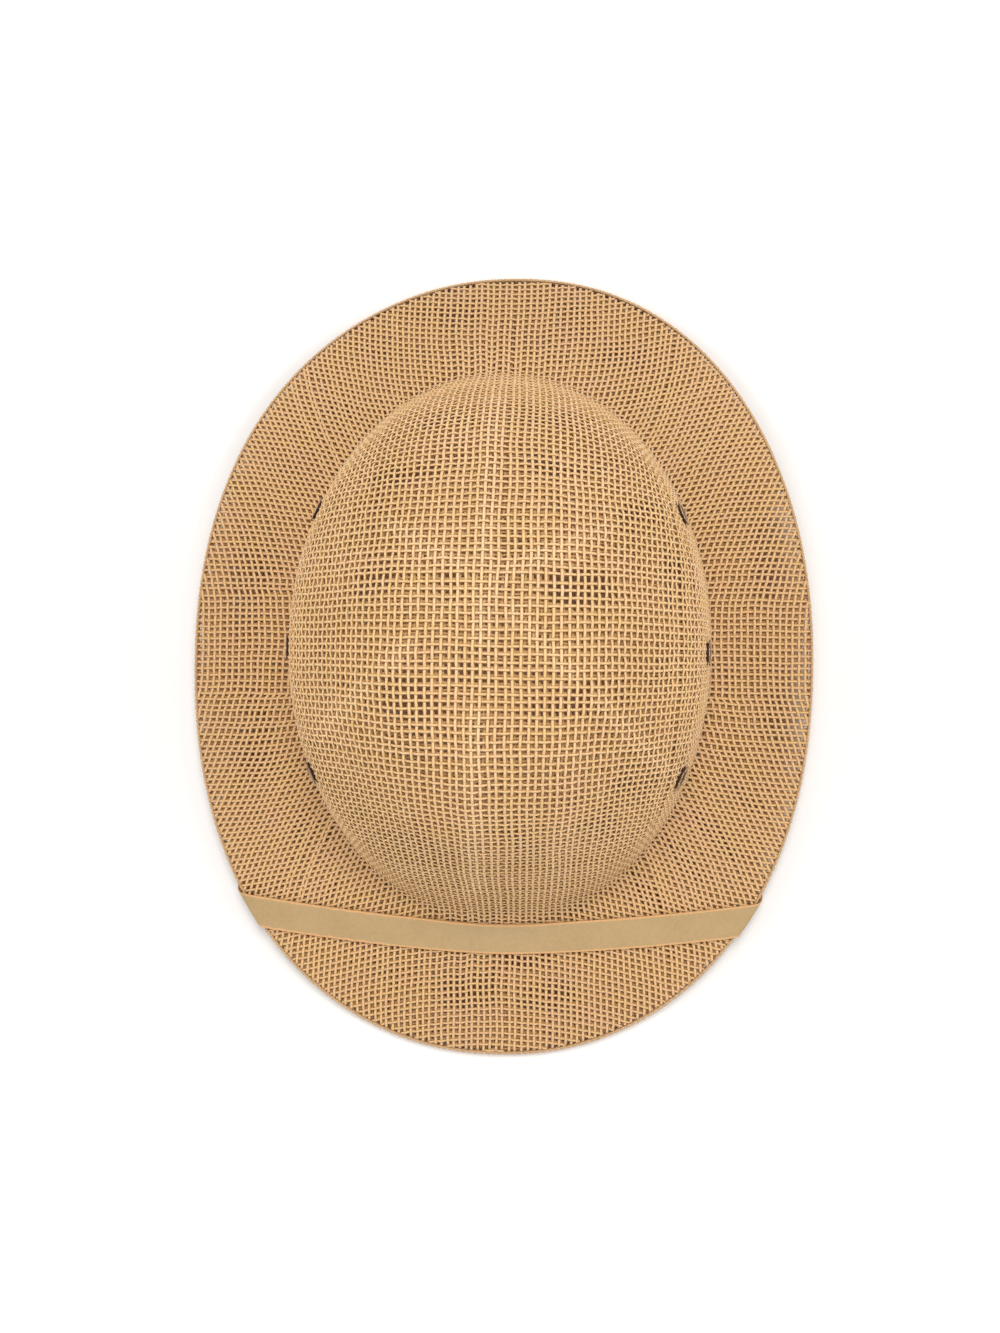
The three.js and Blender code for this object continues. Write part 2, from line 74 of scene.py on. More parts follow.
# Inside this share of the crown's reach no brim lies below. So many halvings find an edge.
CROWN_ONLY, HALVINGS = 0.6, 30
print("brim in mm:", BRIM_WIDTH, "by", BRIM_LENGTH, "with a crown of", CROWN_TOP)

# %% [markdown]
# The crown falls by one curve at the front, one at the side and one at the back. Each is
# drawn smoothly through its column of the table. The slope at a point is a mean of the
# slopes beside it that never overshoots, so the wall can't bulge between the points.

# %% Curves down the crown
def smoothstep(t):
    s = np.clip(t, 0.0, 1.0)
    return s * s * (3.0 - 2.0 * s)


def profile_curve(column):
    x, y = PROFILE[:, 0], PROFILE[:, column]
    secant = np.diff(y) / np.diff(x)
    slope = np.zeros(len(x))
    slope[1:-1] = 2 * secant[:-1] * secant[1:] / (secant[:-1] + secant[1:])
    slope[-1] = secant[-1]

    def drop(reach):
        i = np.clip(np.searchsorted(x, reach) - 1, 0, len(x) - 2)
        span = x[i + 1] - x[i]
        t = np.clip((reach - x[i]) / span, 0.0, None)
        inside = ((2 * t**3 - 3 * t**2 + 1) * y[i] + (t**3 - 2 * t**2 + t) * span * slope[i]
                  + (3 * t**2 - 2 * t**3) * y[i + 1] + (t**3 - t**2) * span * slope[i + 1])
        return np.where(reach >= 1.0, y[-1] + slope[-1] * (reach - 1.0), inside)
    return drop


front_drop, side_drop, back_drop = profile_curve(1), profile_curve(2), profile_curve(3)
half_way = [round(float(drop(0.5)), 3) for drop in (front_drop, side_drop, back_drop)]
print("share of the drop half way out, at front, side and back:", half_way)

# %% [markdown]
# Seen from above, the brim and the crown's foot are ovals with a power a little over two,
# slightly fuller than an ellipse. The brim lifts at the sides, and six low ridges run
# down the crown from a boss.

# %% Ovals, lift of the brim and ridges
def oval_reach(x, y, half_x, half_y, power):
    return (np.abs(x / half_x) ** power + np.abs(y / half_y) ** power) ** (1.0 / power)


def brim_reach(x, y):
    lean = BRIM_BACK_LEAN * (np.maximum(y, 0.0) / (BRIM_LENGTH / 2)) ** 4
    return oval_reach(x - lean, y, BRIM_WIDTH / 2, BRIM_LENGTH / 2, BRIM_POWER)


def brim_lift(x, y):
    across, along = np.abs(x) / (BRIM_WIDTH / 2), np.abs(y) / (BRIM_LENGTH / 2)
    sideways = across / np.hypot(across, along)
    return SIDE_LIFT * smoothstep((sideways - LIFT_START) / (1.0 - LIFT_START))


def edge_distance(dir_x, dir_y, start_y):
    """How far the brim's edge lies from (0, start_y) along a direction, found by halving."""
    low, high = np.zeros_like(dir_x), np.full_like(dir_x, BRIM_LENGTH)
    for _ in range(HALVINGS):
        middle = (low + high) / 2
        inside = brim_reach(dir_x * middle, start_y + dir_y * middle) < 1.0
        low, high = np.where(inside, middle, low), np.where(inside, high, middle)
    return low


def from_boss(x, y, azimuth):
    """How far a place lies along a ray from the boss, and how far aside of it."""
    c, s = math.cos(math.radians(azimuth)), math.sin(math.radians(azimuth))
    return (x - BOSS_X) * c + (y - BOSS_Y) * s, (y - BOSS_Y) * c - (x - BOSS_X) * s


def ridge_bump(x, y, reach):
    bump = BOSS_HEIGHT * np.exp(-(np.hypot(x - BOSS_X, y - BOSS_Y) / BOSS_RADIUS) ** 4)
    for azimuth, share in RIDGES:
        along, aside = from_boss(x, y, azimuth)
        ridge = RIDGE_HEIGHT * share * np.exp(-(aside / RIDGE_HALF_WIDTH) ** 2)
        bump = np.where(along > 0, np.maximum(bump, ridge * smoothstep(along / BOSS_RADIUS)), bump)
    return bump * (1.0 - smoothstep((reach - RIDGE_FADE) / (1.0 - RIDGE_FADE)))


# %% [markdown]
# The mould is the crown or the brim, whichever is higher, with a small round between
# them. The brim is drawn along rays from the crown's middle. The place where a ray meets
# the brim's edge is found by halving, because the leaning oval has no simple formula.

# %% Height of the mould over its plan
def mould_height(x, y):
    from_y = y - FOOT_SHIFT
    across, along = x / (FOOT_WIDTH / 2), from_y / (FOOT_LENGTH / 2)
    side_share = across**2 / (across**2 + along**2 + 1e-12)
    reach = oval_reach(x, from_y, FOOT_WIDTH / 2, FOOT_LENGTH / 2, FOOT_POWER)
    end_drop = np.where(from_y < 0, front_drop(reach), back_drop(reach))
    end_height = np.where(from_y < 0, FOOT_FRONT, FOOT_BACK)
    side_fall = side_share * (CROWN_TOP - FOOT_SIDE)
    end_fall = (1.0 - side_share) * (CROWN_TOP - end_height)
    crown = CROWN_TOP - side_fall * side_drop(reach) - end_fall * end_drop
    length = np.hypot(x, from_y) + 1e-9
    dir_x, dir_y = x / length, from_y / length
    foot_at = length / np.maximum(reach, 1e-6)
    edge_at = edge_distance(dir_x, dir_y, FOOT_SHIFT)
    edge_z = BEAD_HEIGHT + brim_lift(dir_x * edge_at, FOOT_SHIFT + dir_y * edge_at)
    foot_z = CROWN_TOP - side_fall - end_fall
    out = (length - foot_at) / (edge_at - foot_at)
    curved = out * (BRIM_STRAIGHTNESS + (1.0 - BRIM_STRAIGHTNESS) * out)
    brim = foot_z + (edge_z - foot_z) * np.where(out > 0, curved, out * BRIM_STRAIGHTNESS)
    near = np.maximum(FOOT_BLEND - np.abs(crown - brim), 0.0) / FOOT_BLEND
    joined = np.maximum(crown, brim) + near**2 * FOOT_BLEND / 4
    return np.where(reach < CROWN_ONLY, crown, joined) + ridge_bump(x, y, reach)


middle_height = float(mould_height(np.array([0.0]), np.array([0.0]))[0])
print("height over the middle in mm:", round(middle_height, 2))

# %% [markdown]
# The height is worked out once on a grid of half a millimetre. Asking the grid is far
# quicker than asking the formulas, and the strands ask it millions of times.

# %% Mould surface from a grid
GRID = 0.5
grid_x = np.arange(-165.0, 165.0 + GRID, GRID)
grid_y = np.arange(-205.0, 205.0 + GRID, GRID)
mesh_x, mesh_y = np.meshgrid(grid_x, grid_y, indexing="ij")
grid_z = mould_height(mesh_x, mesh_y)
slope_x = np.gradient(grid_z, GRID, axis=0)
slope_y = np.gradient(grid_z, GRID, axis=1)


def inside_cell(values, i, j, a, b):
    """Values read at shares a and b of a cell, from its four corners."""
    return (values[i, j] * (1 - a) * (1 - b) + values[i + 1, j] * a * (1 - b)
            + values[i, j + 1] * (1 - a) * b + values[i + 1, j + 1] * a * b)


def on_mould(plan):
    """Surface points and unit normals over plan points."""
    u = np.clip((plan[..., 0] - grid_x[0]) / GRID, 0, len(grid_x) - 1.001)
    v = np.clip((plan[..., 1] - grid_y[0]) / GRID, 0, len(grid_y) - 1.001)
    i, j = u.astype(int), v.astype(int)
    a, b = u - i, v - j
    height, rise_x, rise_y = (inside_cell(grid, i, j, a, b) for grid in (grid_z, slope_x, slope_y))
    normal = np.stack([-rise_x, -rise_y, np.ones_like(a)], -1)
    normal /= np.linalg.norm(normal, axis=-1, keepdims=True)
    return np.concatenate([plan, height[..., None]], -1), normal


print("mould grid", grid_z.shape, "highest point in mm", round(float(grid_z.max()), 2))

# %% [markdown]
# ## Draping the net
# Flat netting has square cells. Pressed over a dome, its strands keep their length, so
# the cells shear into diamonds on the diagonals. Cutting the cells by a formula would
# look printed on. Instead a lattice of crossings is laid from the middle outwards, then
# springs along the strands pull it true while it stays on the mould.

# %% Lay the lattice
PITCH = 2.8
HALF_COLUMNS, HALF_ROWS = 88, 104
RAY_STEP, LONGEST_RAY = 3.0, 400


def laid_out(flat_u, flat_v):
    """First guess: each crossing keeps its distance and direction from the middle."""
    turns = np.radians(np.arange(0, 361, RAY_STEP))
    radii = np.arange(0, LONGEST_RAY, 0.5)
    rays = np.stack([np.cos(turns)[:, None] * radii, FOOT_SHIFT + np.sin(turns)[:, None] * radii], -1)
    points, _ = on_mould(rays)
    steps = np.linalg.norm(np.diff(points, axis=1), axis=-1)
    arcs = np.concatenate([np.zeros((len(turns), 1)), np.cumsum(steps, axis=1)], 1)
    wanted = np.arange(0, LONGEST_RAY, 1.0)
    table = np.array([np.interp(wanted, arc, radii) for arc in arcs])
    distance, turn = np.hypot(flat_u, flat_v), np.arctan2(flat_v, flat_u)
    t = np.degrees(turn) % 360 / RAY_STEP
    i = np.clip(t.astype(int), 0, len(turns) - 2)
    j = np.clip(distance.astype(int), 0, len(wanted) - 2)
    a, b = t - i, distance - j
    radius = inside_cell(table, i, j, a, b)
    return np.stack([np.cos(turn) * radius, FOOT_SHIFT + np.sin(turn) * radius], -1)


print("crossings in half the net:", HALF_COLUMNS, "by", HALF_ROWS)

# %% [markdown]
# Every strand between two crossings acts as a spring of one length. The springs across
# the cells are weak, because open net shears easily, and a little stiffness keeps a
# strand from kinking.

# %% Springs of the net
def settle(plan, length, rounds, shear, bend):
    """Springs along both sets of strands, weak ones across the cells, and a little stiffness."""
    speed = np.zeros(plan.shape[:-1] + (3,))
    every, most, rest = slice(None), slice(0, -1), slice(1, None)
    springs = [((most, every), (rest, every), length, 0.5), ((every, most), (every, rest), length, 0.5),
               ((most, most), (rest, rest), length * math.sqrt(2), shear / 2),
               ((rest, most), (most, rest), length * math.sqrt(2), shear / 2)]
    for _ in range(rounds):
        points, normal = on_mould(plan)
        pull = np.zeros_like(points)
        for one, other, rest_length, strength in springs:
            apart = points[other] - points[one]
            size = np.linalg.norm(apart, axis=-1, keepdims=True)
            change = strength * (size - rest_length) / size * apart
            pull[one] += change
            pull[other] -= change
        pull[1:-1] += bend * (points[2:] - 2 * points[1:-1] + points[:-2])
        pull[:, 1:-1] += bend * (points[:, 2:] - 2 * points[:, 1:-1] + points[:, :-2])
        # The move stays along the mould, so that a steep wall doesn't fling a crossing away
        speed = 0.9 * speed + 0.35 * pull
        speed -= (speed * normal).sum(-1, keepdims=True) * normal
        plan = plan + speed[..., :2]
    return plan


# %% [markdown]
# A coarse lattice settles in few rounds, so the net starts with every eighth crossing.
# Then the crossings between are filled in and the finer lattice settles again, until the
# net is whole.

# %% From a coarse net to the whole one
def between(values):
    """Values with one more, smoothly placed, between each two along the first axis."""
    middle = (values[:-1] + values[1:]) / 2
    middle[1:-1] = (9 * values[1:-2] + 9 * values[2:-1] - values[:-3] - values[3:]) / 16
    out = np.empty((len(values) * 2 - 1,) + values.shape[1:])
    out[::2], out[1::2] = values, middle
    return out


def between_both(values):
    return between(between(values).swapaxes(0, 1)).swapaxes(0, 1)


coarse = 8
columns = np.arange(-HALF_COLUMNS, HALF_COLUMNS + 1, coarse) * PITCH
rows = np.arange(-HALF_ROWS, HALF_ROWS + 1, coarse) * PITCH
crossings = settle(laid_out(*np.meshgrid(columns, rows, indexing="ij")), PITCH * coarse, 300, 0.06, 0.05)
for rounds, shear, bend in ((250, 0.02, 0.03), (200, 0.006, 0.01), (150, 0.003, 0.01)):
    coarse //= 2
    crossings = settle(between_both(crossings), PITCH * coarse, rounds, shear, bend)
on_helmet = brim_reach(crossings[..., 0], crossings[..., 1]) < 1.0
print("crossings on the helmet:", int(on_helmet.sum()))

# %% [markdown]
# ## The second ply
# Two plies of the same net lie one inside the other. Where their strands line up, the
# eye sees through both, and where they lie half a cell apart the net looks closed. That
# slow beat gives the helmet its soft patches and the pale lines down its crown. One
# short table names the patches where the strands line up, and another the closed lines
# along the ridges.

# %% Patches and closed lines
# Each row: middle x and y, half length and half width in mm, turn in degrees, how far lined up
OPEN_PATCHES = [
    (29, 79, 22, 6, 0, 1.0), (58, 59, 11, 7, 20, 1.0), (-46, 32, 13, 9, 60, 0.8),
    (32, 29, 20, 8, 0, 1.0), (-35, -13, 16, 10, 0, 1.0), (69, 35, 14, 6, 90, 1.0),
    (40, -12, 11, 7, 0, 1.0), (55, -48, 17, 8, 35, 1.0), (18, -72, 21, 6, 8, 1.0),
    (-33, -75, 21, 6, -10, 0.9), (118, 49, 23, 10, 90, 1.0), (124, -17, 25, 10, 90, 0.9),
    (-83, -75, 13, 10, 0, 1.0), (-115, 32, 27, 11, 90, 1.0), (-110, -34, 20, 10, 90, 1.0),
    (-14, -146, 17, 9, 0, 1.0), (13, -128, 12, 8, 0, 1.0), (20, -147, 13, 8, 0, 1.0),
    (-37, 74, 17, 5, 0, 0.9), (-27, 99, 17, 5, 0, 0.9), (27, 99, 17, 5, 0, 0.9),
    (-1, -1, 17, 10, 0, 0.6), (-30, 152, 18, 11, 0, 0.6), (60, 138, 16, 10, 0, 0.6),
    (79, -82, 17, 4, -50, 1.0), (93, -71, 17, 4, -42, 1.0), (62, -95, 17, 4, -57, 1.0),
    (108, -58, 17, 4, -34, 1.0),
]
# Each row: azimuth from the boss in degrees, then where a closed pale line starts and ends, in mm
CLOSED_LINES = [(24, 4, 50), (88, 0, 76), (149, 4, 42), (222, 38, 48), (222, 62, 88), (268, 0, 20),
                (268, 50, 126), (315, 18, 50), (315, 62, 100)]
LINE_HALF_WIDTH, LINE_FADE, PLAIN_SHIFT, LINE_SHIFT = 3.8, 6.0, 0.39, 0.5
EYE = np.array([30.0, 0.0, 670.0])
print("open patches:", len(OPEN_PATCHES), "closed lines:", len(CLOSED_LINES))

# %% [markdown]
# A patch is a soft ellipse over the plan. A closed line follows one ray from the boss and
# starts and ends softly.

# %% How open or closed a place is
def on_line(points):
    """How far a point lies on the boss or on one of the closed lines, 0 to 1."""
    share = np.exp(-(np.hypot(points[..., 0] - BOSS_X, points[..., 1] - BOSS_Y) / BOSS_RADIUS) ** 4)
    for azimuth, start, end in CLOSED_LINES:
        along, aside = from_boss(points[..., 0], points[..., 1], azimuth)
        inside = smoothstep((along - start) / LINE_FADE + 1) * smoothstep((end - along) / LINE_FADE + 1)
        share = np.maximum(share, inside * np.exp(-(aside / LINE_HALF_WIDTH) ** 4))
    return share


def line_up(points):
    share = np.zeros(points.shape[:-1])
    for x, y, half_length, half_width, turn, strength in OPEN_PATCHES:
        c, s = math.cos(math.radians(turn)), math.sin(math.radians(turn))
        along = ((points[..., 0] - x) * c + (points[..., 1] - y) * s) / half_length
        aside = ((points[..., 1] - y) * c - (points[..., 0] - x) * s) / half_width
        share = np.maximum(share, strength * np.exp(-(along**2 + aside**2) ** 2))
    return share


# %% [markdown]
# The inner ply is the same lattice read part of a cell away. On a slope it must move
# aside as well, because an eye above looks through both plies at a slant there. Last
# comes the hand of the loom: no strand lies exactly in line.

# %% Shift and hand of the loom
WAVES = 14


def shifted(values, step_u, step_v):
    """The lattice read at places moved by parts of a cell."""
    count_u, count_v = values.shape[:2]
    iu, iv = np.meshgrid(np.arange(count_u), np.arange(count_v), indexing="ij")
    u, v = np.clip(iu + step_u, 0, count_u - 1.001), np.clip(iv + step_v, 0, count_v - 1.001)
    i, j = u.astype(int), v.astype(int)
    return inside_cell(values, i, j, (u - i)[..., None], (v - j)[..., None])


def slow_waves(points, seed):
    """A smooth unevenness over the helmet, about -1 to 1, from a few waves of chance direction."""
    chance = np.random.default_rng(seed)
    total = np.zeros(points.shape[:-1])
    for _ in range(WAVES):
        turn = chance.uniform(0, 2 * math.pi)
        length = chance.uniform(22, 60)
        start = chance.uniform(0, 2 * math.pi)
        along = points[..., 0] * math.cos(turn) + points[..., 1] * math.sin(turn)
        total += np.sin(along * 2 * math.pi / length + start)
    return total / math.sqrt(WAVES / 2)


def seen_shift(plan):
    """How far the inner ply must move to lie straight behind the outer one for an eye above."""
    points, normal = on_mould(plan)
    view = EYE - points
    view /= np.linalg.norm(view, axis=-1, keepdims=True)
    facing = np.maximum((normal * view).sum(-1, keepdims=True), 0.4)
    return (PLY + FIT_GAP) * (normal[..., :2] - view[..., :2] / facing)


def uneven(values, seed, amount):
    """Hand of the loom: whole strands a little out of line, and small waves along them."""
    chance = np.random.default_rng(seed)
    count_u, count_v = values.shape[:2]
    wave = chance.normal(size=(count_u, count_v, 2))
    for _ in range(2):
        beside = np.roll(wave, 1, 0) + np.roll(wave, -1, 0) + np.roll(wave, 1, 1) + np.roll(wave, -1, 1)
        wave = beside / 4 + wave / 2
    out = values + amount * wave
    out += 1.5 * amount * np.stack([slow_waves(values, seed + 1), slow_waves(values, seed + 2)], -1)
    out[..., 0] += 1.3 * amount * chance.normal(size=(count_u, 1))
    out[..., 1] += 1.3 * amount * chance.normal(size=(1, count_v))
    return out


# %% [markdown]
# Along the closed lines the plies lie half a cell apart. Elsewhere they lie a little less
# than that apart, save in the patches. Slow waves keep the shift from looking ruled.

# %% Nets of both plies
loose = 1.0 - on_line(crossings)
patch = LINE_SHIFT * (1.0 - loose) + PLAIN_SHIFT * loose * (1.0 - line_up(crossings))
apart_u = patch + 0.07 * loose * slow_waves(crossings, 71)
apart_v = patch + 0.07 * loose * slow_waves(crossings, 72)
outer_net = uneven(crossings, 11, 0.1)
inner_net = uneven(shifted(crossings + seen_shift(crossings), apart_u, apart_v), 23, 0.1)
print("cells lined up on", round(float((patch[on_helmet] < 0.2).mean()) * 100), "% of the helmet")

# %% [markdown]
# ## Strands
# A strand is a thin oval rod that bends over and under the strands it meets. Thousands
# of them share one simple section, so each set is built as one joined mesh by sweeping
# an oval along every path at once. An array of copies could not follow the sheared cells.

# %% Parts of a sweep
RUBBED_ABOVE = 42.0


def directions(points, normals, closed):
    """Unit directions across a path and up from it, at each of its points."""
    if closed:
        travel = np.roll(points, -1, 0) - np.roll(points, 1, 0)
    else:
        travel = np.gradient(points, axis=0)
    travel /= np.linalg.norm(travel, axis=1, keepdims=True)
    across = np.cross(travel, normals)
    across /= np.linalg.norm(across, axis=1, keepdims=True)
    return across, np.cross(across, travel)


def end_caps(paths, sides):
    """A face over each end of every open path."""
    caps = []
    start = 0
    for points, _, _ in paths:
        end = start + len(points) * sides
        caps.append(list(range(start, start + sides)))
        caps.append(list(range(end - 1, end - sides - 1, -1)))
        start = end
    return caps


def mark_points(mesh, name, values):
    """One number for each point, which a material reads by its name."""
    numbers = mesh.attributes.new(name, "FLOAT", "POINT")
    numbers.data.foreach_set("value", values.astype(np.float32))


# %% [markdown]
# Each point of a path gets one ring of points, and rings side by side are joined by
# faces. A section of five sides has a corner on top, and the others have a flat side
# there.

# %% Sweep an oval along many paths
def sweep(name, paths, half_width, half_height, sides, closed=False):
    """paths: list of (points, normals, tone). Makes one mesh, with a map in mm along and round."""
    turn = np.pi / 2 + 2 * np.pi * (np.arange(sides) + (0.0 if sides == 5 else 0.5)) / sides
    facing = np.abs(np.sin(turn))
    places, tones, rubs, faces, maps = [], [], [], [], []
    start = 0
    for points, normals, tone in paths:
        count = len(points)
        across, up = directions(points, normals, closed)
        ring = (points[:, None] + across[:, None] * (np.cos(turn) * half_width)[None, :, None]
                + up[:, None] * (np.sin(turn) * half_height)[None, :, None])
        places.append(ring.reshape(-1, 3))
        tones.append(np.full(count * sides, tone))
        rubs.append(np.repeat(on_line(points) * (points[:, 2] > RUBBED_ABOVE), sides))
        steps = np.linalg.norm(np.diff(points, axis=0), axis=1)
        run = np.concatenate([[0], np.cumsum(steps)])
        last = count if closed else count - 1
        i, k = np.meshgrid(np.arange(last), np.arange(sides), indexing="ij")
        i, k = i.ravel(), k.ravel()
        n, m = (i + 1) % count, (k + 1) % sides
        faces.append(start + np.stack([i * sides + k, n * sides + k, n * sides + m, i * sides + m], 1))
        far = np.where(n == 0, run[-1] + 1.0, run[n])
        girth = np.pi * (half_width + half_height) / sides
        near, low, high = run[i], k * girth, (k + 1) * girth
        maps.append(np.stack([near, low, far, low, far, high, near, high], 1))
        start += count * sides
    faces = np.concatenate(faces)
    maps = np.concatenate(maps).reshape(-1, 2)
    caps = [] if closed else end_caps(paths, sides)
    mesh = bpy.data.meshes.new(name)
    mesh.from_pydata(np.concatenate(places) * 0.001, [], faces.tolist() + caps)
    mark_points(mesh, "tone", np.concatenate(tones))
    mark_points(mesh, "rubbed", np.concatenate(rubs))
    # face_on is 1 on the top and bottom of a section and 0 at its sides; the grain paints shade on the
    # sides from it.
    mark_points(mesh, "face_on", np.tile(facing, len(mesh.vertices) // sides))
    layer = mesh.uv_layers.new(name="strand")
    flat = np.zeros((len(mesh.loops), 2), np.float32)
    flat[:len(maps)] = maps
    layer.data.foreach_set("uv", flat.ravel())
    mesh.polygons.foreach_set("use_smooth", np.ones(len(mesh.polygons), bool))
    mesh.update()
    piece = bpy.data.objects.new(name, mesh)
    scene.collection.objects.link(piece)
    print(name, "triangles:", sum(len(p.vertices) - 2 for p in mesh.polygons))
    return piece


# %% [markdown]
# Every piece gets its material, rides with the one body of the helmet, and hides the
# solids of the model it stands for.

# %% Finish a piece
def finish_piece(piece, slot, material, *nodes):
    piece.data.materials.append(material)
    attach(piece, "root")
    if nodes:
        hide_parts(*nodes)
    return piece


# %% [markdown]
# ## Eyelet places
# The rivets pass through both plies, so the strands must stop under their rims. Their
# places are found first, at one height on the crown wall.

# %% Find the eyelets on the wall
EYELET_HEIGHT, FLANGE_RADIUS, CLINCH_RADIUS, BARREL_RADIUS, HOLE_RADIUS = 50.0, 5.5, 4.9, 4.0, 3.2
FLANGE_THICKNESS, INNER_GAP = 0.6, 1.0
EYELETS = [("eyelet_right_front", -34), ("eyelet_right_side", 0), ("eyelet_right_back", 37),
           ("eyelet_left_back", 143), ("eyelet_left_side", 180), ("eyelet_left_front", 214)]


def eyelet_place(azimuth):
    turn = math.radians(azimuth)
    reach = np.arange(20, 150, 0.02)
    ray = np.stack([np.cos(turn) * reach, FOOT_SHIFT + np.sin(turn) * reach], -1)
    points, normals = on_mould(ray)
    first = int(np.argmax(points[:, 2] < EYELET_HEIGHT))
    return points[first], normals[first]


eyelet_places = {name: eyelet_place(azimuth) for name, azimuth in EYELETS}
for name, (point, normal) in eyelet_places.items():
    print(name, "at", np.round(point, 1), "mm")


# %% [markdown]
# ## Weave both plies
# Columns run front to back and rows run side to side. At each crossing one goes over
# and the other under, and the next crossing is the other way round. A strand is cut
# where it reaches the bound edge or an eyelet.

# %% Paths of the strands
CRIMP = 0.30
RIM_SHARE = 1.0 - 1.3 / (BRIM_WIDTH / 2)
EYELET_CLEARANCE, EYELET_VICINITY, SHORTEST_TIP = 0.5, 12, 0.15


def strand_paths(net, depth, fine, seed, across):
    """Paths of one set of strands. across is 0 for columns and 1 for rows."""
    chance = np.random.default_rng(seed)
    lattice = net if across == 0 else net.swapaxes(0, 1)
    paths = []
    for number, line in enumerate(lattice):
        sign = np.where((np.arange(len(line)) + number) % 2 == 0, 1.0, -1.0)
        if across == 1:
            sign = -sign
        lift = CRIMP * sign
        if fine:
            line = between(line)
            lift = np.stack([lift, np.zeros_like(lift)], 1).ravel()[:-1]
        points, normals = on_mould(line)
        kept = brim_reach(line[:, 0], line[:, 1]) < RIM_SHARE
        for place, normal in eyelet_places.values():
            offset = points - place
            offset -= (offset @ normal)[:, None] * normal
            elsewhere = np.linalg.norm(points - place, axis=1) > EYELET_VICINITY
            kept &= (np.linalg.norm(offset, axis=1) > BARREL_RADIUS + EYELET_CLEARANCE) | elsewhere
        points = points + normals * (lift - depth)[:, None]
        tone = float(np.clip(chance.normal(0.5, 0.2), 0, 1))
        bounds = np.flatnonzero(np.diff(np.concatenate([[0], kept.astype(int), [0]])))
        for first, last in zip(bounds[::2], bounds[1::2]):
            run = list(range(first, last))
            if len(run) < 3:
                continue
            strand, upright = points[run], normals[run]
            for end, outside in ((0, first - 1), (-1, last)):
                if 0 <= outside < len(line):
                    inner, outer = line[run[end]], line[outside]
                    low = brim_reach(*inner)
                    high = brim_reach(*outer)
                    if high > RIM_SHARE and high > low:
                        share = (RIM_SHARE - low) / (high - low)
                        tip = points[run[end]] + (points[outside] - points[run[end]]) * share
                        if share > SHORTEST_TIP and end == 0:
                            strand, upright = np.vstack([tip, strand]), np.vstack([upright[:1], upright])
                        elif share > SHORTEST_TIP:
                            strand, upright = np.vstack([strand, tip]), np.vstack([upright, upright[-1:]])
            paths.append((strand, upright, tone))
    return paths


# %% [markdown]
# The outer ply is seen close up, so its strands get more points and rounder sections. The
# inner one shows only through the holes. The outer strands go into four meshes and the
# inner ones into two, so that no piece grows too large.

# %% Weave
OUTER_DEPTH = PLY / 2
INNER_DEPTH = PLY + FIT_GAP + PLY / 2
strands_made = []

for net, depth, fine, sides, half_column, half_row, height, node in (
    (outer_net, OUTER_DEPTH, True, (6, 5), 0.66, 0.59, 0.31, "outer_mesh"),
    (inner_net, INNER_DEPTH, False, (4, 4), 0.65, 0.57, 0.31, "inner_mesh"),
):
    for across, family, half_width in ((0, "columns", half_column), (1, "rows", half_row)):
        paths = strand_paths(net, depth, fine, 40 + across, across)
        middle = [path[0][:, across].mean() for path in paths]
        if node == "inner_mesh":
            halves = {"inner_" + family: paths}
        else:
            names = ("left", "right") if across == 0 else ("front", "back")
            halves = {
                f"outer_{family}_{names[0]}": [p for p, m in zip(paths, middle) if m < 0],
                f"outer_{family}_{names[1]}": [p for p, m in zip(paths, middle) if m >= 0],
            }
        for name, part in halves.items():
            strands_made.append((sweep(name, part, half_width, height, sides[across]), node))
print("pieces of net:", len(strands_made))

# %% [markdown]
# ## The bound edge
# Round the brim both plies are bound together: a cord lies along the edge and yarn is
# wrapped over it, one turn to each cell. The wrapping is one long spiral, so it is swept
# with the same tool as the strands.

# %% Way of the bound edge
EDGE_STEPS = 360
CORD_HALF_WIDTH, CORD_HALF_HEIGHT, CORD_SIDES = 0.6, 1.9, 10
WRAP_ASIDE, WRAP_UP, POINTS_PER_WRAP = 0.62, 1.88, 12


def edge_line(turn):
    """Middle of the bound edge and its outward direction, at azimuths about the origin."""
    def rim(angle):
        reach = edge_distance(np.cos(angle), np.sin(angle), 0.0)
        return np.stack([np.cos(angle) * reach, np.sin(angle) * reach], -1)
    forward = rim(turn + 0.001) - rim(turn - 0.001)
    forward /= np.linalg.norm(forward, axis=1, keepdims=True)
    outward = np.stack([forward[:, 1], -forward[:, 0], np.zeros(len(turn))], -1)
    at = rim(turn)
    middle = np.concatenate([at, (brim_lift(at[:, 0], at[:, 1]) + BEAD_HEIGHT / 2)[:, None]], 1)
    return middle - outward * BEAD_WIDTH / 2, outward


# %% [markdown]
# The cord is a closed ring along the edge. Its points are spaced evenly along the edge,
# not by angle, so that no stretch of it is coarser.

# %% Cord along the edge
even = np.linspace(0, 2 * np.pi, 4001)
edge_points, _ = edge_line(even)
travelled = np.concatenate([[0], np.cumsum(np.linalg.norm(np.diff(edge_points, axis=0), axis=1))])
print("length of the bound edge in mm:", round(float(travelled[-1])))
upright = np.array([0.0, 0.0, 1.0])
turns = np.interp(np.linspace(0, travelled[-1], EDGE_STEPS + 1)[:-1], travelled, even)
core_points, _ = edge_line(turns)
core_normals = np.tile(upright, (EDGE_STEPS, 1))
edge_cord = sweep("edge_cord", [(core_points, core_normals, 0.5)],
                  CORD_HALF_WIDTH, CORD_HALF_HEIGHT, CORD_SIDES, closed=True)

# %% [markdown]
# The wrapping is one closed spiral of flat yarn, with one turn to each cell of the net.
# The turns swell and shrink a little, as if wound by hand.

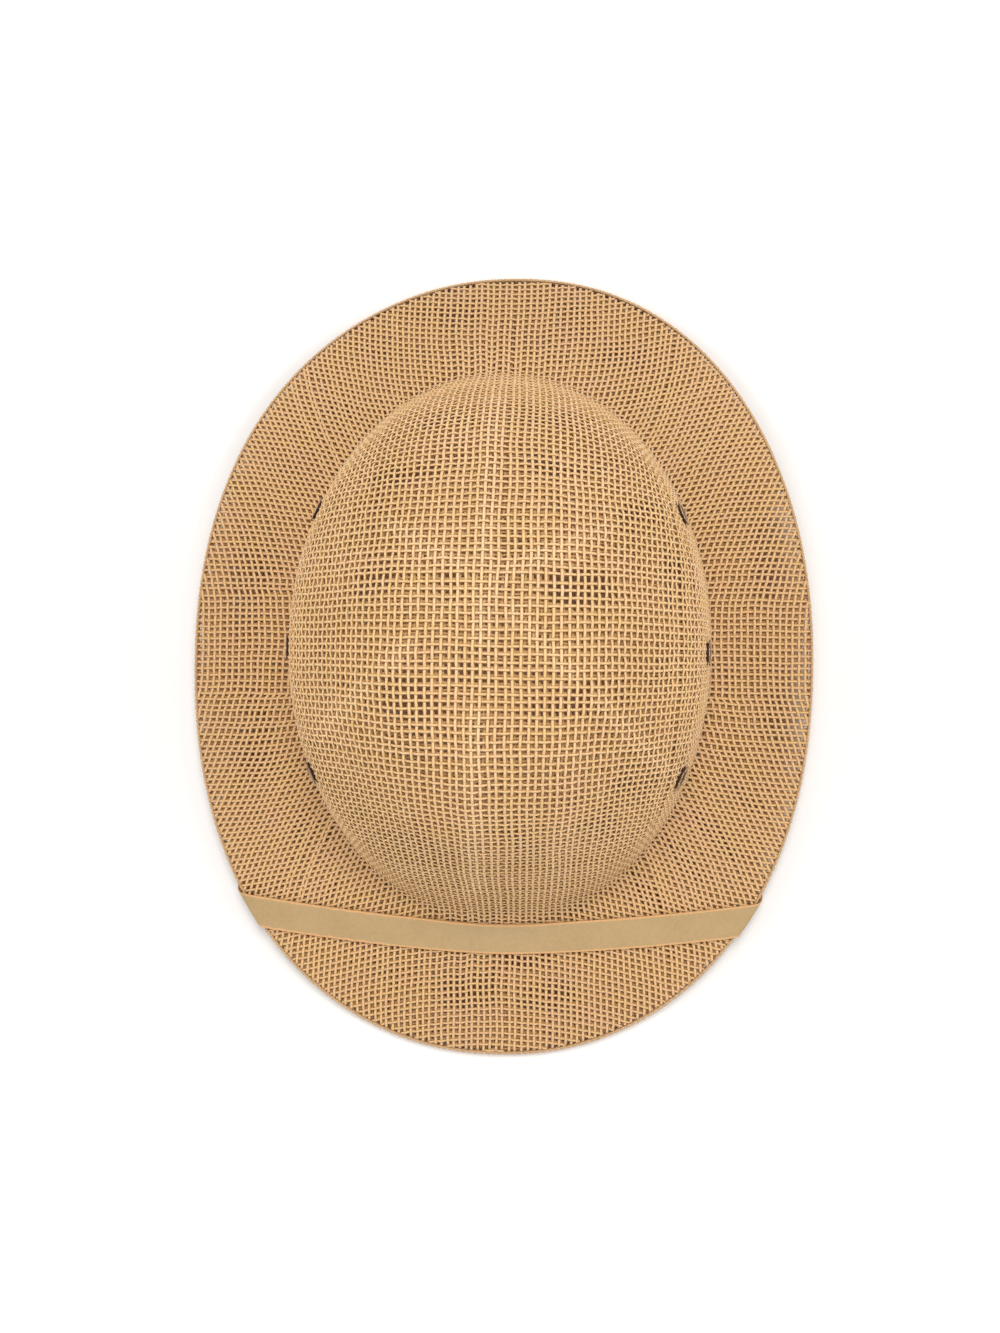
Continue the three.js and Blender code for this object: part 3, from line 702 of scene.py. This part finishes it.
# %% Wrapping over the cord
wraps = round(float(travelled[-1]) / PITCH)
spiral = np.arange(wraps * POINTS_PER_WRAP)
turns = np.interp(spiral / len(spiral) * travelled[-1], travelled, even)
wrap_middle, wrap_outward = edge_line(turns)
angle = 2 * np.pi * spiral / POINTS_PER_WRAP
drift = np.sin(np.random.default_rng(5).normal(size=wraps).cumsum())
swell = 1.0 + 0.06 * drift[spiral // POINTS_PER_WRAP]
wrap_points = (wrap_middle + wrap_outward * (WRAP_ASIDE * swell * np.cos(angle))[:, None]
               + upright * (WRAP_UP * np.sin(angle))[:, None])
wrap_normals = (wrap_outward * (np.cos(angle) / WRAP_ASIDE)[:, None]
                + upright * (np.sin(angle) / WRAP_UP)[:, None])
wrap_normals /= np.linalg.norm(wrap_normals, axis=1, keepdims=True)
edge_wrapping = sweep("edge_wrapping", [(wrap_points, wrap_normals, 0.5)], 1.15, 0.26, 4, closed=True)

# %% [markdown]
# ## The strap
# The strap is a flat band of coated cloth, cut with a knife, so its long edges show the
# cloth between the coats. The solid model already follows its whole way over the brim,
# round both edges and up inside the crown. A merged copy gets soft edges, and the cut
# sides get a finish of their own.

# %% Strap with cut edges
CORNER_ANGLE, CUT_SIDE_AREA, ROUNDING = math.radians(50), 0.0015, 0.00035
strap_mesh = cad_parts["chin_strap"].data.copy()
strap_mesh.name = "strap_band"
strap_mesh.materials.clear()
shape = bmesh.new()
shape.from_mesh(strap_mesh)
bmesh.ops.remove_doubles(shape, verts=shape.verts, dist=2e-6)
bmesh.ops.join_triangles(shape, faces=shape.faces, angle_face_threshold=math.radians(35),
                         angle_shape_threshold=math.radians(60))
corner_edges = {e for e in shape.edges if len(e.link_faces) == 2 and e.calc_face_angle() > CORNER_ANGLE}
waiting = set(shape.faces)
regions = []
while waiting:
    region, front = [], [waiting.pop()]
    while front:
        face = front.pop()
        region.append(face)
        for edge in face.edges:
            if edge in corner_edges:
                continue
            for other in edge.link_faces:
                if other in waiting:
                    waiting.remove(other)
                    front.append(other)
    regions.append(region)
for region in regions:
    area = sum(face.calc_area() for face in region)
    for face in region:
        face.material_index = 1 if area < CUT_SIDE_AREA else 0
        face.smooth = True
cut_faces = sum(1 for face in shape.faces if face.material_index == 1)
print("strap: faces of cut edge", cut_faces, "of", len(shape.faces))
rounded = bmesh.ops.bevel(shape, geom=list(corner_edges), offset=ROUNDING, offset_type="OFFSET",
                          segments=2, profile=0.5, affect="EDGES", material=-1, clamp_overlap=True)
for face in rounded["faces"]:
    face.material_index = 1
for face in shape.faces:
    face.smooth = True
shape.to_mesh(strap_mesh)
shape.free()
strap_band = bpy.data.objects.new("strap_band", strap_mesh)
scene.collection.objects.link(strap_band)
smooth = strap_band.modifiers.new("smooth", "SUBSURF")
smooth.levels = smooth.render_levels = 1
print("strap: faces after rounding", len(strap_mesh.polygons))

# %% [markdown]
# ## Eyelets
# Each eyelet is a thin brass tube with a rolled rim, spread open inside the crown. It is
# round, so half of its section is drawn once and spun about its axis, then moved to its
# place on the wall. An attribute marks the rim's crest, where the paint wears first.

# %% Spin the eyelets
OVER = FIT_GAP
CREST = OVER + FLANGE_THICKNESS
UNDER = -(2 * PLY + FIT_GAP + INNER_GAP)
BOTTOM = UNDER - FLANGE_THICKNESS


def arc(centre_r, centre_h, radius, first, last, steps):
    turn = np.radians(np.linspace(first, last, steps))
    return [(centre_r + radius * math.cos(t), centre_h + radius * math.sin(t)) for t in turn]


half_roll = FLANGE_THICKNESS / 2
section = (
    arc(HOLE_RADIUS + 0.5, CREST - 0.5, 0.5, 180, 90, 6)
    + arc(FLANGE_RADIUS - half_roll, OVER + half_roll, half_roll, 90, -90, 7)
    + [(BARREL_RADIUS, OVER), (BARREL_RADIUS, UNDER)]
    + arc(CLINCH_RADIUS - half_roll, UNDER - half_roll, half_roll, 90, -90, 6)
    + arc(HOLE_RADIUS + 0.5, BOTTOM + 0.5, 0.5, 270, 180, 5)
)
eyelet_pieces = []
for name, (point, normal) in eyelet_places.items():
    shape = bmesh.new()
    corners = [shape.verts.new((r * 0.001, 0.0, h * 0.001)) for r, h in section]
    sides = [shape.edges.new((a, b)) for a, b in zip(corners, corners[1:] + corners[:1])]
    bmesh.ops.spin(shape, geom=corners + sides, cent=(0, 0, 0), axis=(0, 0, 1), dvec=(0, 0, 0),
                   angle=2 * math.pi, steps=40, use_merge=True)
    bmesh.ops.remove_doubles(shape, verts=shape.verts, dist=1e-6)
    bmesh.ops.recalc_face_normals(shape, faces=shape.faces)
    wear = [float(smoothstep((v.co.z * 1000 - OVER) / FLANGE_THICKNESS)) for v in shape.verts]
    turn = Vector((0, 0, 1)).rotation_difference(Vector(normal)).to_matrix().to_4x4()
    seat = Matrix.Translation(Vector(point * 0.001)) @ turn
    bmesh.ops.transform(shape, verts=shape.verts, matrix=seat)
    for face in shape.faces:
        face.smooth = True
    mesh = bpy.data.meshes.new(name + "_rim")
    shape.to_mesh(mesh)
    shape.free()
    mesh.attributes.new("wear", "FLOAT", "POINT").data.foreach_set("value", wear)
    piece = bpy.data.objects.new(name + "_rim", mesh)
    scene.collection.objects.link(piece)
    eyelet_pieces.append((piece, name))
print("eyelets spun:", len(eyelet_pieces))

# %% [markdown]
# ## Finishes
# A finish is a small tree of nodes. A few helpers add a node, do a sum or blend two
# colours, so that a tree reads like a recipe.

# %% Helpers for node trees
def add(tree, kind, **values):
    node = tree.nodes.new(kind)
    for key, value in values.items():
        if key in node.inputs:
            node.inputs[key].default_value = value
        else:
            setattr(node, key, value)
    return node


def maths(tree, operation, first, second=None, clamp=False):
    node = tree.nodes.new("ShaderNodeMath")
    node.operation, node.use_clamp = operation, clamp
    for socket, value in zip(node.inputs, (first, second)):
        if value is None:
            continue
        if isinstance(value, (int, float)):
            socket.default_value = value
        else:
            tree.links.new(value, socket)
    return node.outputs[0]


def blend_colours(tree, share, first, second, kind="MIX"):
    node = tree.nodes.new("ShaderNodeMix")
    node.data_type, node.blend_type = "RGBA", kind
    for socket, value in ((node.inputs[0], share), (node.inputs[6], first), (node.inputs[7], second)):
        if isinstance(value, (int, float, tuple)):
            socket.default_value = value
        else:
            tree.links.new(value, socket)
    return node.outputs[2]


def noise(tree, vector, scale, detail, roughness=0.5):
    node = add(tree, "ShaderNodeTexNoise", Scale=scale, Detail=detail, Roughness=roughness)
    tree.links.new(vector, node.inputs["Vector"])
    return node.outputs["Fac"]


def emboss(tree, shader, height, strength, distance):
    bump = add(tree, "ShaderNodeBump", Strength=strength, Distance=distance)
    tree.links.new(height, bump.inputs["Height"])
    tree.links.new(bump.outputs["Normal"], shader.inputs["Normal"])


# %% [markdown]
# A grain that several finishes share goes into a group with named inputs. Each material
# starts from one plain shader.

# %% New groups and materials
def new_group(name, inputs, outputs):
    group = bpy.data.node_groups.new(name, "ShaderNodeTree")
    for label, kind in inputs:
        group.interface.new_socket(label, in_out="INPUT", socket_type=kind)
    for label, kind in outputs:
        group.interface.new_socket(label, in_out="OUTPUT", socket_type=kind)
    return group, add(group, "NodeGroupInput"), add(group, "NodeGroupOutput")


def new_material(name):
    material = bpy.data.materials.new(name)
    material.use_nodes = True
    shader = material.node_tree.nodes["Principled BSDF"]
    return material, material.node_tree, shader


# %% [markdown]
# The net and the edge share the grain of a spun strand: fibres that twist round it,
# strands of slightly different tone and tint, slow patches of wear, paler crests where
# the ridges are rubbed, and darker sides, which are painted shade between the strands.
# The map laid on each strand in millimetres keeps the fibres running along it.

# %% Grain of a spun strand
COLOUR, NUMBER = "NodeSocketColor", "NodeSocketFloat"
grain, given, made = new_group(
    "spun_strand",
    [("Low Colour", COLOUR), ("High Colour", COLOUR), ("Worn Colour", COLOUR), ("Shaded Side Colour", COLOUR),
     ("Twist", NUMBER)],
    [("Colour", COLOUR), ("Roughness", NUMBER), ("Fibres", NUMBER)],
)
strand_map = add(grain, "ShaderNodeUVMap", uv_map="strand")
parts = add(grain, "ShaderNodeSeparateXYZ")
grain.links.new(strand_map.outputs[0], parts.inputs[0])
lean = maths(grain, "MULTIPLY", parts.outputs[0], given.outputs["Twist"])
round_strand = maths(grain, "ADD", parts.outputs[1], lean)
joined = add(grain, "ShaderNodeCombineXYZ")
grain.links.new(maths(grain, "MULTIPLY", parts.outputs[0], 0.35), joined.inputs[0])
grain.links.new(maths(grain, "MULTIPLY", round_strand, 3.2), joined.inputs[1])
fibres = noise(grain, joined.outputs[0], 1.0, 3.0, 0.6)
place = add(grain, "ShaderNodeTexCoord")
patches = noise(grain, place.outputs["Object"], 34.0, 3.0)
specks = noise(grain, place.outputs["Object"], 420.0, 2.0)
tone = add(grain, "ShaderNodeAttribute", attribute_name="tone")
parts = add(grain, "ShaderNodeSeparateXYZ")
grain.links.new(place.outputs["Object"], parts.inputs[0])
high = maths(grain, "DIVIDE", maths(grain, "SUBTRACT", parts.outputs[2], 0.014), 0.03, clamp=True)
base = blend_colours(grain, high, given.outputs["Low Colour"], given.outputs["High Colour"])
worn = maths(grain, "ADD", maths(grain, "MULTIPLY", tone.outputs["Fac"], 0.35),
             maths(grain, "MULTIPLY", patches, 0.5))
worn = maths(grain, "ADD", worn, maths(grain, "MULTIPLY", specks, 0.45))
worn = maths(grain, "ADD", worn, maths(grain, "MULTIPLY", fibres, 0.35))
worn = maths(grain, "MULTIPLY", maths(grain, "SUBTRACT", worn, 0.55), 1.3, clamp=True)
yarn = blend_colours(grain, worn, given.outputs["Worn Colour"], base)
hue = noise(grain, place.outputs["Object"], 85.0, 2.0)
by_strand = maths(grain, "MULTIPLY", tone.outputs["Fac"], 0.8)
by_place = maths(grain, "MULTIPLY", hue, 1.6)
hue = maths(grain, "SUBTRACT", maths(grain, "ADD", by_strand, by_place), 0.7, clamp=True)
tint = blend_colours(grain, hue, (0.99, 1.01, 0.91, 1), (1.0, 0.985, 1.03, 1))
yarn = blend_colours(grain, 1.0, yarn, tint, "MULTIPLY")
rubbed = add(grain, "ShaderNodeAttribute", attribute_name="rubbed")
pale = maths(grain, "MULTIPLY", rubbed.outputs["Fac"], 0.3)
yarn = blend_colours(grain, pale, yarn, (0.98, 0.72, 0.42, 1))
# Painted shade: where face_on is low, on the sides of each strand, the colour turns to the darker side
# colour.
face_on = add(grain, "ShaderNodeAttribute", attribute_name="face_on")
unshaded_share = maths(grain, "MULTIPLY", maths(grain, "SUBTRACT", face_on.outputs["Fac"], 0.1), 1.5, clamp=True)
grain.links.new(blend_colours(grain, unshaded_share, given.outputs["Shaded Side Colour"], yarn), made.inputs["Colour"])
roughness = maths(grain, "SUBTRACT", 0.85, maths(grain, "MULTIPLY", fibres, 0.25))
grain.links.new(roughness, made.inputs["Roughness"])
grain.links.new(fibres, made.inputs["Fibres"])
print("nodes in the grain:", len(grain.nodes))

# %% [markdown]
# Three yarns share that grain and differ in colour, twist and relief. The inner ply is the
# same yarn, painted a little deeper and warmer in colour as shade for lying under the outer ply.

# %% Yarns
def strand_material(name, low, high_colour, worn_colour, side_shade_colour, twist, relief):
    material, tree, shader = new_material(name)
    look = tree.nodes.new("ShaderNodeGroup")
    look.node_tree = grain
    for label, value in (("Low Colour", low), ("High Colour", high_colour), ("Worn Colour", worn_colour),
                         ("Shaded Side Colour", side_shade_colour), ("Twist", twist)):
        look.inputs[label].default_value = value
    tree.links.new(look.outputs["Colour"], shader.inputs["Base Color"])
    tree.links.new(look.outputs["Roughness"], shader.inputs["Roughness"])
    emboss(tree, shader, look.outputs["Fibres"], relief, 0.00015)
    shader.inputs["Sheen Weight"].default_value = 0.25
    shader.inputs["Sheen Roughness"].default_value = 0.4
    shader.inputs["Specular IOR Level"].default_value = 0.3
    return material


# The fourth colour of each yarn is painted shade for the sides of its strands.
outer_yarn = strand_material("outer_yarn", (0.73, 0.46, 0.26, 1), (0.95, 0.655, 0.365, 1),
                             (0.78, 0.49, 0.23, 1), (0.55, 0.30, 0.09, 1), 0.9, 0.5)
# All four colours of the inner yarn are a little darker and warmer than the outer's, as painted shade.
shaded_inner_yarn = strand_material("shaded_inner_yarn", (0.68, 0.40, 0.18, 1), (0.94, 0.62, 0.30, 1),
                             (0.62, 0.35, 0.13, 1), (0.38, 0.17, 0.035, 1), 0.9, 0.4)
edge_yarn = strand_material("edge_yarn", (0.80, 0.53, 0.31, 1), (0.82, 0.55, 0.32, 1),
                            (0.62, 0.38, 0.18, 1), (0.50, 0.30, 0.13, 1), 1.4, 0.6)
for piece, node in strands_made:
    finish_piece(piece, "netting", outer_yarn if node == "outer_mesh" else shaded_inner_yarn, node)
for piece in (edge_cord, edge_wrapping):
    finish_piece(piece, "edge", edge_yarn, "brim_edge")
print("pieces finished with yarn:", len(strands_made) + 2)

# %% [markdown]
# The strap's coat has a fine pebble and lies a little unevenly. Its cut sides are raw
# cloth, warmer in colour and rougher.

# %% Strap finishes
strap_coat, tree, shader = new_material("strap_coat")
place = add(tree, "ShaderNodeTexCoord").outputs["Object"]
pebble = add(tree, "ShaderNodeTexVoronoi", Scale=1500.0)
tree.links.new(place, pebble.inputs["Vector"])
patches = noise(tree, place, 55.0, 4.0)
scuffs = noise(tree, place, 600.0, 3.0, 0.65)
rubbed = maths(tree, "MULTIPLY", maths(tree, "ADD", patches, scuffs), 0.5, clamp=True)
coat = blend_colours(tree, rubbed, (0.35, 0.225, 0.095, 1), (0.59, 0.405, 0.195, 1))
tree.links.new(coat, shader.inputs["Base Color"])
tree.links.new(maths(tree, "ADD", 0.36, maths(tree, "MULTIPLY", patches, 0.3)), shader.inputs["Roughness"])
relief = maths(tree, "ADD", maths(tree, "MULTIPLY", pebble.outputs["Distance"], 0.6),
               maths(tree, "MULTIPLY", scuffs, 0.6))
emboss(tree, shader, relief, 0.35, 0.0002)

strap_cut, tree, shader = new_material("strap_cut")
place = add(tree, "ShaderNodeTexCoord").outputs["Object"]
fray = noise(tree, place, 1300.0, 3.0, 0.7)
frayed = blend_colours(tree, fray, (0.52, 0.25, 0.09, 1), (0.86, 0.52, 0.24, 1))
tree.links.new(frayed, shader.inputs["Base Color"])
tree.links.new(maths(tree, "ADD", 0.6, maths(tree, "MULTIPLY", fray, 0.3)), shader.inputs["Roughness"])
emboss(tree, shader, fray, 0.5, 0.0002)
finish_piece(strap_band, "strap", strap_coat, "chin_strap")
strap_band.data.materials.append(strap_cut)
print("strap finishes:", [material.name for material in strap_band.data.materials])

# %% [markdown]
# The eyelets are painted brown, and bright brass shows through on the crest of the rim.
# Small chips of paint are missing elsewhere too.

# %% Eyelet finish
eyelet_paint, tree, shader = new_material("eyelet_paint")
place = add(tree, "ShaderNodeTexCoord").outputs["Object"]
chips = noise(tree, place, 900.0, 4.0, 0.6)
crest = add(tree, "ShaderNodeAttribute", attribute_name="wear")
bare = maths(tree, "ADD", maths(tree, "MULTIPLY", crest.outputs["Fac"], 0.55), chips)
bare = maths(tree, "MULTIPLY", maths(tree, "SUBTRACT", bare, 0.95), 9.0, clamp=True)
dust = noise(tree, place, 260.0, 3.0)
paint = blend_colours(tree, dust, (0.075, 0.036, 0.022, 1), (0.21, 0.11, 0.065, 1))
tree.links.new(blend_colours(tree, bare, paint, (0.78, 0.60, 0.38, 1)), shader.inputs["Base Color"])
tree.links.new(maths(tree, "MULTIPLY", bare, 0.95), shader.inputs["Metallic"])
tree.links.new(maths(tree, "ADD", 0.22, maths(tree, "MULTIPLY", dust, 0.25)), shader.inputs["Roughness"])
emboss(tree, shader, chips, 0.2, 0.0001)
for piece, name in eyelet_pieces:
    finish_piece(piece, "eyelet", eyelet_paint, name)
print("eyelets painted:", len(eyelet_pieces))

# %% [markdown]
# ## Floor, light and camera
# The helmet stands on a plain white table. Little light gets under it, so the table's colour
# is painted darker and warmer just where the helmet covers it, and that painted shade shows
# through the holes of the net. The shelter of a place is measured by an ambient occlusion node.

# %% Floor
shape = bmesh.new()
bmesh.ops.create_grid(shape, x_segments=1, y_segments=1, size=3.0)
floor_mesh = bpy.data.meshes.new("table_top")
shape.to_mesh(floor_mesh)
shape.free()
table_top = bpy.data.objects.new("table_top", floor_mesh)
scene.collection.objects.link(table_top)
table_finish, tree, shader = new_material("table_finish")
shelter = tree.nodes.new("ShaderNodeAmbientOcclusion")
shelter.samples = 6
shelter.inputs["Distance"].default_value = 0.15
# Painted shade: sheltered parts of the table are coloured dark and warm.
open_share = maths(tree, "MULTIPLY", maths(tree, "SUBTRACT", shelter.outputs["AO"], 0.2), 3.0, clamp=True)
floor_colour = blend_colours(tree, open_share, (0.46, 0.24, 0.09, 1), (0.93, 0.91, 0.89, 1))
tree.links.new(floor_colour, shader.inputs["Base Color"])
shader.inputs["Roughness"].default_value = 0.9
floor_mesh.materials.append(table_finish)

# %% [markdown]
# Large soft lights on four sides and an even white sky leave only a faint shadow.

# %% Sky and soft lights
world = bpy.data.worlds.new("studio")
world.use_nodes = True
world.node_tree.nodes["Background"].inputs["Color"].default_value = (1.0, 1.0, 1.0, 1)
world.node_tree.nodes["Background"].inputs["Strength"].default_value = 0.33
scene.world = world


def soft_light(name, place, size, watts):
    lamp = bpy.data.lights.new(name, "AREA")
    lamp.shape, lamp.size, lamp.energy = "DISK", size, watts
    holder = bpy.data.objects.new(name, lamp)
    holder.location = place
    holder.rotation_euler = (-Vector(place)).to_track_quat("-Z", "Y").to_euler()
    scene.collection.objects.link(holder)
    return holder


soft_light("window_light", (0.1, 0.7, 1.5), 0.8, 15.0)
soft_light("left_light", (-1.3, 0.1, 0.9), 1.0, 7.0)
soft_light("right_light", (1.3, 0.1, 0.9), 1.0, 7.0)
soft_light("front_light", (0.0, -1.3, 1.0), 1.0, 6.5)
print("lights:", len(bpy.data.lights))

# %% [markdown]
# The helmet is seen from straight above, from about arm's length, so its crown looks
# larger than its brim. The camera is turned by a little under a degree.

# %% Camera
CAMERA_HEIGHT, CAMERA_ASIDE, CAMERA_TURN = 0.670, 0.030, math.radians(0.8)
eye = Vector((CAMERA_ASIDE, 0.0, CAMERA_HEIGHT))
target = Vector((-0.0009, 0.0, 0.0))
back = (eye - target).normalized()
top = Vector((-math.sin(CAMERA_TURN), math.cos(CAMERA_TURN), 0.0))
right = top.cross(back).normalized()
top = back.cross(right)
turn = Matrix((right, top, back)).transposed().to_4x4()
lens = bpy.data.cameras.new("camera")
lens.lens, lens.sensor_width, lens.sensor_fit = 40.2, 36.0, "AUTO"
lens.clip_start, lens.clip_end = 0.01, 20.0
camera = bpy.data.objects.new("camera", lens)
camera.matrix_world = Matrix.Translation(eye) @ turn
scene.collection.objects.link(camera)
scene.camera = camera
scene.view_settings.view_transform = "Standard"
print("camera height in metres:", CAMERA_HEIGHT)
